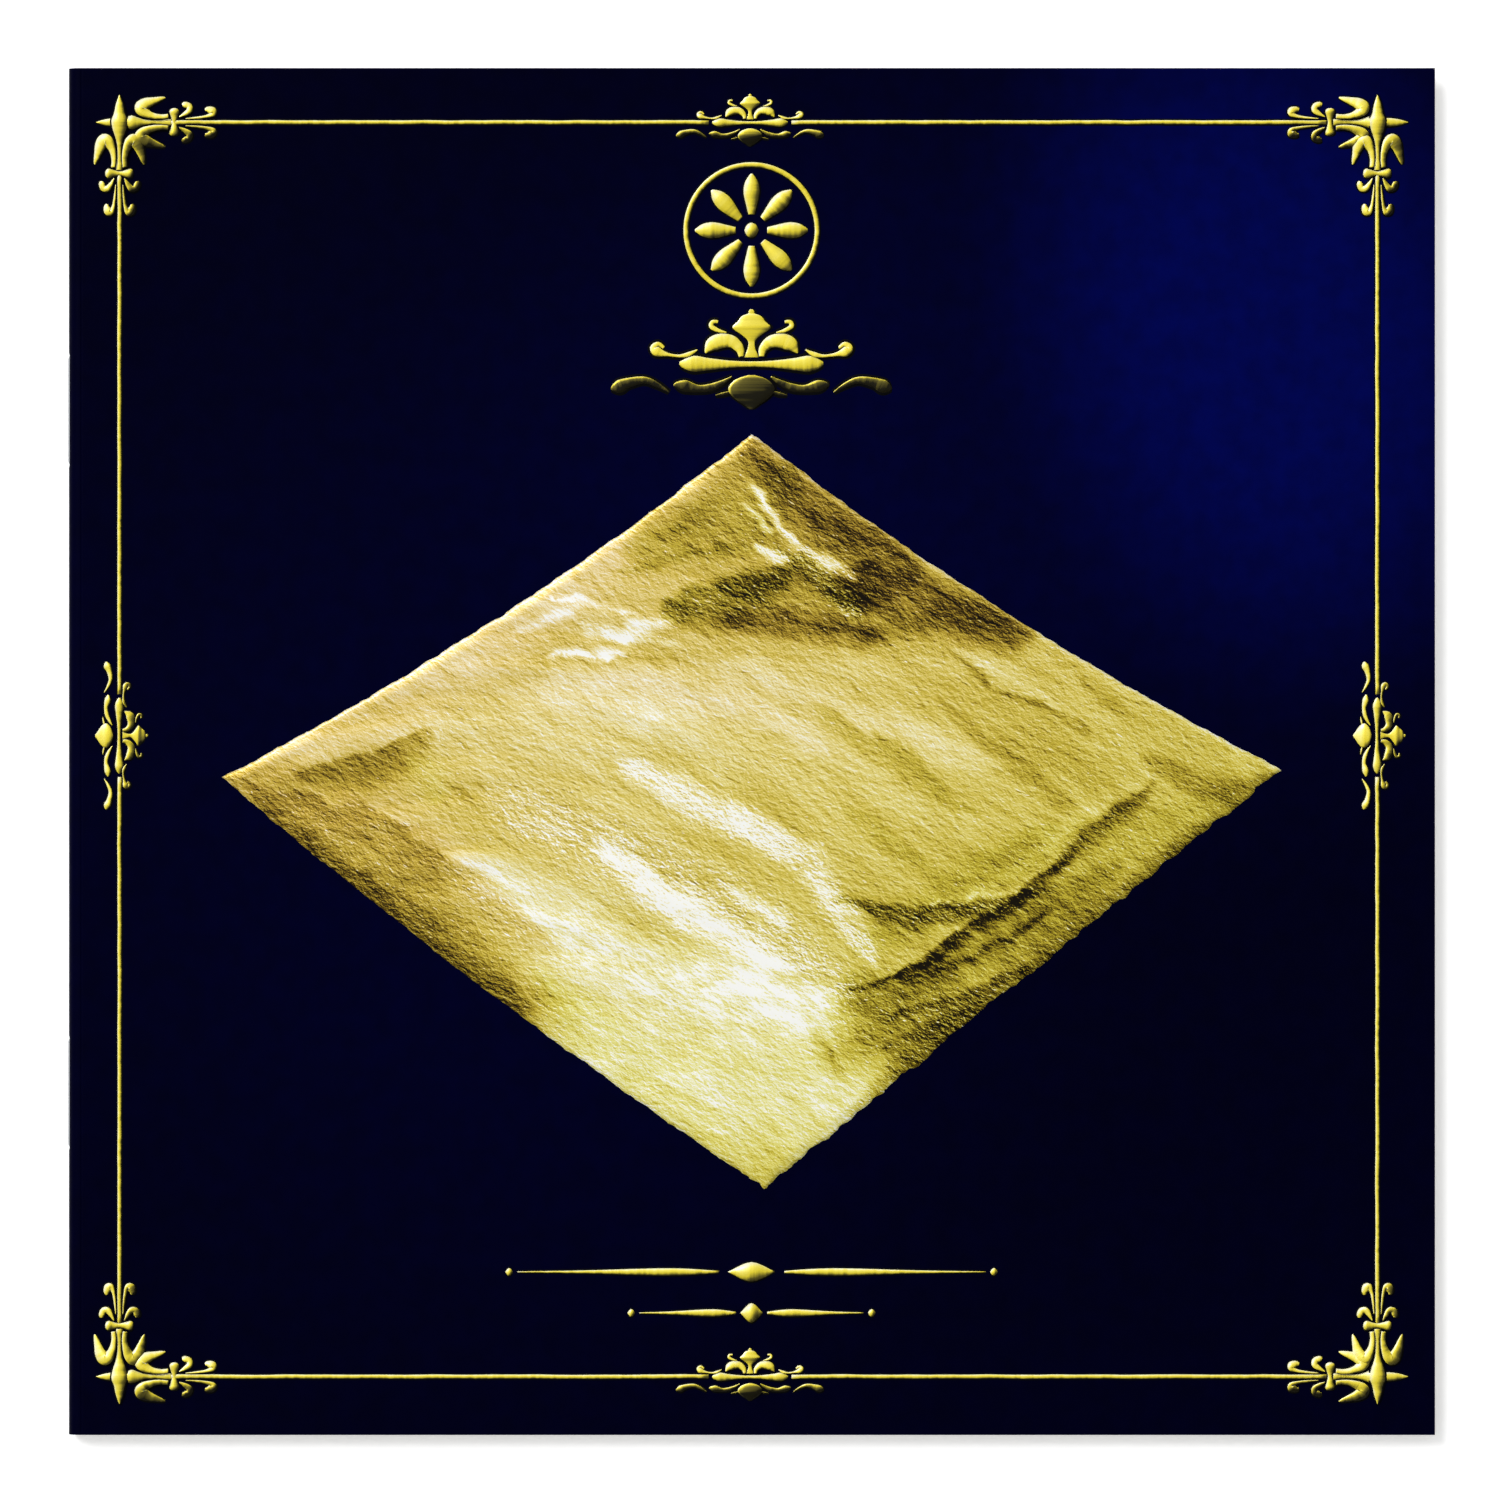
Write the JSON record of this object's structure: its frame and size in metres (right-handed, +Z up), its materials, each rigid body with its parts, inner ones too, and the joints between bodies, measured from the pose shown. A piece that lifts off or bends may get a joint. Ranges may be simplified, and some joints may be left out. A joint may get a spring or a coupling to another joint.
{
  "type": "imitation gold leaf booklet",
  "caption": "Square stapled booklet of loose imitation gold leaves between tissue pages, in a dark blue printed card cover that opens about the spine fold.",
  "frame": {"origin": "middle of the underside of the closed booklet", "axes": "+Z up out of the front cover, +Y to the head of the cover, +X from the spine to the fore-edge"},
  "size_m": [0.1504, 0.15, 0.0027],
  "materials": {
    "printed_card": "satin",
    "tissue": "matte",
    "metal_leaf": "gloss",
    "staple_wire": "satin"
  },
  "bodies": {
    "back_and_spine": {"back_cover": "printed_card", "spine": "printed_card", "tissue_folds": "tissue", "staple_upper": "staple_wire", "staple_lower": "staple_wire"},
    "front_cover": {"front_cover": "printed_card"},
    "tissue_page_01": {"tissue_page_01": "tissue"},
    "tissue_page_02": {"tissue_page_02": "tissue"},
    "tissue_page_03": {"tissue_page_03": "tissue"},
    "tissue_page_04": {"tissue_page_04": "tissue"},
    "tissue_page_05": {"tissue_page_05": "tissue"},
    "tissue_page_06": {"tissue_page_06": "tissue"},
    "tissue_page_07": {"tissue_page_07": "tissue"},
    "tissue_page_08": {"tissue_page_08": "tissue"},
    "tissue_page_09": {"tissue_page_09": "tissue"},
    "tissue_page_10": {"tissue_page_10": "tissue"},
    "tissue_page_11": {"tissue_page_11": "tissue"},
    "tissue_page_12": {"tissue_page_12": "tissue"},
    "tissue_page_13": {"tissue_page_13": "tissue"},
    "tissue_page_14": {"tissue_page_14": "tissue"},
    "tissue_page_15": {"tissue_page_15": "tissue"},
    "tissue_page_16": {"tissue_page_16": "tissue"},
    "tissue_page_17": {"tissue_page_17": "tissue"},
    "tissue_page_18": {"tissue_page_18": "tissue"},
    "tissue_page_19": {"tissue_page_19": "tissue"},
    "tissue_page_20": {"tissue_page_20": "tissue"},
    "tissue_page_21": {"tissue_page_21": "tissue"},
    "tissue_page_22": {"tissue_page_22": "tissue"},
    "tissue_page_23": {"tissue_page_23": "tissue"},
    "tissue_page_24": {"tissue_page_24": "tissue"},
    "tissue_page_25": {"tissue_page_25": "tissue"},
    "tissue_page_26": {"tissue_page_26": "tissue"},
    "gold_leaf_01": {"gold_leaf_01": "metal_leaf"},
    "gold_leaf_02": {"gold_leaf_02": "metal_leaf"},
    "gold_leaf_03": {"gold_leaf_03": "metal_leaf"},
    "gold_leaf_04": {"gold_leaf_04": "metal_leaf"},
    "gold_leaf_05": {"gold_leaf_05": "metal_leaf"},
    "gold_leaf_06": {"gold_leaf_06": "metal_leaf"},
    "gold_leaf_07": {"gold_leaf_07": "metal_leaf"},
    "gold_leaf_08": {"gold_leaf_08": "metal_leaf"},
    "gold_leaf_09": {"gold_leaf_09": "metal_leaf"},
    "gold_leaf_10": {"gold_leaf_10": "metal_leaf"},
    "gold_leaf_11": {"gold_leaf_11": "metal_leaf"},
    "gold_leaf_12": {"gold_leaf_12": "metal_leaf"},
    "gold_leaf_13": {"gold_leaf_13": "metal_leaf"},
    "gold_leaf_14": {"gold_leaf_14": "metal_leaf"},
    "gold_leaf_15": {"gold_leaf_15": "metal_leaf"},
    "gold_leaf_16": {"gold_leaf_16": "metal_leaf"},
    "gold_leaf_17": {"gold_leaf_17": "metal_leaf"},
    "gold_leaf_18": {"gold_leaf_18": "metal_leaf"},
    "gold_leaf_19": {"gold_leaf_19": "metal_leaf"},
    "gold_leaf_20": {"gold_leaf_20": "metal_leaf"},
    "gold_leaf_21": {"gold_leaf_21": "metal_leaf"},
    "gold_leaf_22": {"gold_leaf_22": "metal_leaf"},
    "gold_leaf_23": {"gold_leaf_23": "metal_leaf"},
    "gold_leaf_24": {"gold_leaf_24": "metal_leaf"},
    "gold_leaf_25": {"gold_leaf_25": "metal_leaf"}
  },
  "joints": [
    {"name": "cover_hinge", "type": "hinge", "parent": "back_and_spine", "child": "front_cover", "pos_m": [-0.0735, 0, 0.00133], "axis": [0, -1, 0], "range_deg": [0, 178]},
    {"name": "page_01_hinge", "type": "hinge", "parent": "back_and_spine", "child": "tissue_page_01", "pos_m": [-0.0735, 0, 0.00133], "axis": [0, -1, 0], "range_deg": [0, 178]},
    {"name": "page_02_hinge", "type": "hinge", "parent": "back_and_spine", "child": "tissue_page_02", "pos_m": [-0.0735, 0, 0.00133], "axis": [0, -1, 0], "range_deg": [0, 178]},
    {"name": "page_03_hinge", "type": "hinge", "parent": "back_and_spine", "child": "tissue_page_03", "pos_m": [-0.0735, 0, 0.00133], "axis": [0, -1, 0], "range_deg": [0, 178]},
    {"name": "page_04_hinge", "type": "hinge", "parent": "back_and_spine", "child": "tissue_page_04", "pos_m": [-0.0735, 0, 0.00133], "axis": [0, -1, 0], "range_deg": [0, 178]},
    {"name": "page_05_hinge", "type": "hinge", "parent": "back_and_spine", "child": "tissue_page_05", "pos_m": [-0.0735, 0, 0.00133], "axis": [0, -1, 0], "range_deg": [0, 178]},
    {"name": "page_06_hinge", "type": "hinge", "parent": "back_and_spine", "child": "tissue_page_06", "pos_m": [-0.0735, 0, 0.00133], "axis": [0, -1, 0], "range_deg": [0, 178]},
    {"name": "page_07_hinge", "type": "hinge", "parent": "back_and_spine", "child": "tissue_page_07", "pos_m": [-0.0735, 0, 0.00133], "axis": [0, -1, 0], "range_deg": [0, 178]},
    {"name": "page_08_hinge", "type": "hinge", "parent": "back_and_spine", "child": "tissue_page_08", "pos_m": [-0.0735, 0, 0.00133], "axis": [0, -1, 0], "range_deg": [0, 178]},
    {"name": "page_09_hinge", "type": "hinge", "parent": "back_and_spine", "child": "tissue_page_09", "pos_m": [-0.0735, 0, 0.00133], "axis": [0, -1, 0], "range_deg": [0, 178]},
    {"name": "page_10_hinge", "type": "hinge", "parent": "back_and_spine", "child": "tissue_page_10", "pos_m": [-0.0735, 0, 0.00133], "axis": [0, -1, 0], "range_deg": [0, 178]},
    {"name": "page_11_hinge", "type": "hinge", "parent": "back_and_spine", "child": "tissue_page_11", "pos_m": [-0.0735, 0, 0.00133], "axis": [0, -1, 0], "range_deg": [0, 178]},
    {"name": "page_12_hinge", "type": "hinge", "parent": "back_and_spine", "child": "tissue_page_12", "pos_m": [-0.0735, 0, 0.00133], "axis": [0, -1, 0], "range_deg": [0, 178]},
    {"name": "page_13_hinge", "type": "hinge", "parent": "back_and_spine", "child": "tissue_page_13", "pos_m": [-0.0735, 0, 0.00133], "axis": [0, -1, 0], "range_deg": [0, 178]},
    {"name": "page_14_hinge", "type": "hinge", "parent": "back_and_spine", "child": "tissue_page_14", "pos_m": [-0.0735, 0, 0.00133], "axis": [0, -1, 0], "range_deg": [0, 178]},
    {"name": "page_15_hinge", "type": "hinge", "parent": "back_and_spine", "child": "tissue_page_15", "pos_m": [-0.0735, 0, 0.00133], "axis": [0, -1, 0], "range_deg": [0, 178]},
    {"name": "page_16_hinge", "type": "hinge", "parent": "back_and_spine", "child": "tissue_page_16", "pos_m": [-0.0735, 0, 0.00133], "axis": [0, -1, 0], "range_deg": [0, 178]},
    {"name": "page_17_hinge", "type": "hinge", "parent": "back_and_spine", "child": "tissue_page_17", "pos_m": [-0.0735, 0, 0.00133], "axis": [0, -1, 0], "range_deg": [0, 178]},
    {"name": "page_18_hinge", "type": "hinge", "parent": "back_and_spine", "child": "tissue_page_18", "pos_m": [-0.0735, 0, 0.00133], "axis": [0, -1, 0], "range_deg": [0, 178]},
    {"name": "page_19_hinge", "type": "hinge", "parent": "back_and_spine", "child": "tissue_page_19", "pos_m": [-0.0735, 0, 0.00133], "axis": [0, -1, 0], "range_deg": [0, 178]},
    {"name": "page_20_hinge", "type": "hinge", "parent": "back_and_spine", "child": "tissue_page_20", "pos_m": [-0.0735, 0, 0.00133], "axis": [0, -1, 0], "range_deg": [0, 178]},
    {"name": "page_21_hinge", "type": "hinge", "parent": "back_and_spine", "child": "tissue_page_21", "pos_m": [-0.0735, 0, 0.00133], "axis": [0, -1, 0], "range_deg": [0, 178]},
    {"name": "page_22_hinge", "type": "hinge", "parent": "back_and_spine", "child": "tissue_page_22", "pos_m": [-0.0735, 0, 0.00133], "axis": [0, -1, 0], "range_deg": [0, 178]},
    {"name": "page_23_hinge", "type": "hinge", "parent": "back_and_spine", "child": "tissue_page_23", "pos_m": [-0.0735, 0, 0.00133], "axis": [0, -1, 0], "range_deg": [0, 178]},
    {"name": "page_24_hinge", "type": "hinge", "parent": "back_and_spine", "child": "tissue_page_24", "pos_m": [-0.0735, 0, 0.00133], "axis": [0, -1, 0], "range_deg": [0, 178]},
    {"name": "page_25_hinge", "type": "hinge", "parent": "back_and_spine", "child": "tissue_page_25", "pos_m": [-0.0735, 0, 0.00133], "axis": [0, -1, 0], "range_deg": [0, 178]},
    {"name": "page_26_hinge", "type": "hinge", "parent": "back_and_spine", "child": "tissue_page_26", "pos_m": [-0.0735, 0, 0.00133], "axis": [0, -1, 0], "range_deg": [0, 178]},
    {"name": "leaf_01_slide", "type": "slide", "parent": "tissue_page_02", "child": "gold_leaf_01", "axis": [1, 0, 0], "range_m": [0, 0.15]},
    {"name": "leaf_02_slide", "type": "slide", "parent": "tissue_page_03", "child": "gold_leaf_02", "axis": [1, 0, 0], "range_m": [0, 0.15]},
    {"name": "leaf_03_slide", "type": "slide", "parent": "tissue_page_04", "child": "gold_leaf_03", "axis": [1, 0, 0], "range_m": [0, 0.15]},
    {"name": "leaf_04_slide", "type": "slide", "parent": "tissue_page_05", "child": "gold_leaf_04", "axis": [1, 0, 0], "range_m": [0, 0.15]},
    {"name": "leaf_05_slide", "type": "slide", "parent": "tissue_page_06", "child": "gold_leaf_05", "axis": [1, 0, 0], "range_m": [0, 0.15]},
    {"name": "leaf_06_slide", "type": "slide", "parent": "tissue_page_07", "child": "gold_leaf_06", "axis": [1, 0, 0], "range_m": [0, 0.15]},
    {"name": "leaf_07_slide", "type": "slide", "parent": "tissue_page_08", "child": "gold_leaf_07", "axis": [1, 0, 0], "range_m": [0, 0.15]},
    {"name": "leaf_08_slide", "type": "slide", "parent": "tissue_page_09", "child": "gold_leaf_08", "axis": [1, 0, 0], "range_m": [0, 0.15]},
    {"name": "leaf_09_slide", "type": "slide", "parent": "tissue_page_10", "child": "gold_leaf_09", "axis": [1, 0, 0], "range_m": [0, 0.15]},
    {"name": "leaf_10_slide", "type": "slide", "parent": "tissue_page_11", "child": "gold_leaf_10", "axis": [1, 0, 0], "range_m": [0, 0.15]},
    {"name": "leaf_11_slide", "type": "slide", "parent": "tissue_page_12", "child": "gold_leaf_11", "axis": [1, 0, 0], "range_m": [0, 0.15]},
    {"name": "leaf_12_slide", "type": "slide", "parent": "tissue_page_13", "child": "gold_leaf_12", "axis": [1, 0, 0], "range_m": [0, 0.15]},
    {"name": "leaf_13_slide", "type": "slide", "parent": "tissue_page_14", "child": "gold_leaf_13", "axis": [1, 0, 0], "range_m": [0, 0.15]},
    {"name": "leaf_14_slide", "type": "slide", "parent": "tissue_page_15", "child": "gold_leaf_14", "axis": [1, 0, 0], "range_m": [0, 0.15]},
    {"name": "leaf_15_slide", "type": "slide", "parent": "tissue_page_16", "child": "gold_leaf_15", "axis": [1, 0, 0], "range_m": [0, 0.15]},
    {"name": "leaf_16_slide", "type": "slide", "parent": "tissue_page_17", "child": "gold_leaf_16", "axis": [1, 0, 0], "range_m": [0, 0.15]},
    {"name": "leaf_17_slide", "type": "slide", "parent": "tissue_page_18", "child": "gold_leaf_17", "axis": [1, 0, 0], "range_m": [0, 0.15]},
    {"name": "leaf_18_slide", "type": "slide", "parent": "tissue_page_19", "child": "gold_leaf_18", "axis": [1, 0, 0], "range_m": [0, 0.15]},
    {"name": "leaf_19_slide", "type": "slide", "parent": "tissue_page_20", "child": "gold_leaf_19", "axis": [1, 0, 0], "range_m": [0, 0.15]},
    {"name": "leaf_20_slide", "type": "slide", "parent": "tissue_page_21", "child": "gold_leaf_20", "axis": [1, 0, 0], "range_m": [0, 0.15]},
    {"name": "leaf_21_slide", "type": "slide", "parent": "tissue_page_22", "child": "gold_leaf_21", "axis": [1, 0, 0], "range_m": [0, 0.15]},
    {"name": "leaf_22_slide", "type": "slide", "parent": "tissue_page_23", "child": "gold_leaf_22", "axis": [1, 0, 0], "range_m": [0, 0.15]},
    {"name": "leaf_23_slide", "type": "slide", "parent": "tissue_page_24", "child": "gold_leaf_23", "axis": [1, 0, 0], "range_m": [0, 0.15]},
    {"name": "leaf_24_slide", "type": "slide", "parent": "tissue_page_25", "child": "gold_leaf_24", "axis": [1, 0, 0], "range_m": [0, 0.15]},
    {"name": "leaf_25_slide", "type": "slide", "parent": "tissue_page_26", "child": "gold_leaf_25", "axis": [1, 0, 0], "range_m": [0, 0.15]}
  ],
  "couplings": [
    {"joint": "page_01_hinge", "follows": "cover_hinge", "ratio": 0.996},
    {"joint": "page_02_hinge", "follows": "cover_hinge", "ratio": 0.9844},
    {"joint": "page_03_hinge", "follows": "cover_hinge", "ratio": 0.9657},
    {"joint": "page_04_hinge", "follows": "cover_hinge", "ratio": 0.9407},
    {"joint": "page_05_hinge", "follows": "cover_hinge", "ratio": 0.9098},
    {"joint": "page_06_hinge", "follows": "cover_hinge", "ratio": 0.8738},
    {"joint": "page_07_hinge", "follows": "cover_hinge", "ratio": 0.8332},
    {"joint": "page_08_hinge", "follows": "cover_hinge", "ratio": 0.7887},
    {"joint": "page_09_hinge", "follows": "cover_hinge", "ratio": 0.7407},
    {"joint": "page_10_hinge", "follows": "cover_hinge", "ratio": 0.6901},
    {"joint": "page_11_hinge", "follows": "cover_hinge", "ratio": 0.6373},
    {"joint": "page_12_hinge", "follows": "cover_hinge", "ratio": 0.583},
    {"joint": "page_13_hinge", "follows": "cover_hinge", "ratio": 0.5278},
    {"joint": "page_14_hinge", "follows": "cover_hinge", "ratio": 0.4722},
    {"joint": "page_15_hinge", "follows": "cover_hinge", "ratio": 0.417},
    {"joint": "page_16_hinge", "follows": "cover_hinge", "ratio": 0.3627},
    {"joint": "page_17_hinge", "follows": "cover_hinge", "ratio": 0.3099},
    {"joint": "page_18_hinge", "follows": "cover_hinge", "ratio": 0.2593},
    {"joint": "page_19_hinge", "follows": "cover_hinge", "ratio": 0.2113},
    {"joint": "page_20_hinge", "follows": "cover_hinge", "ratio": 0.1668},
    {"joint": "page_21_hinge", "follows": "cover_hinge", "ratio": 0.1262},
    {"joint": "page_22_hinge", "follows": "cover_hinge", "ratio": 0.0902},
    {"joint": "page_23_hinge", "follows": "cover_hinge", "ratio": 0.0593},
    {"joint": "page_24_hinge", "follows": "cover_hinge", "ratio": 0.0343},
    {"joint": "page_25_hinge", "follows": "cover_hinge", "ratio": 0.0156},
    {"joint": "page_26_hinge", "follows": "cover_hinge", "ratio": 0.004}
  ]
}
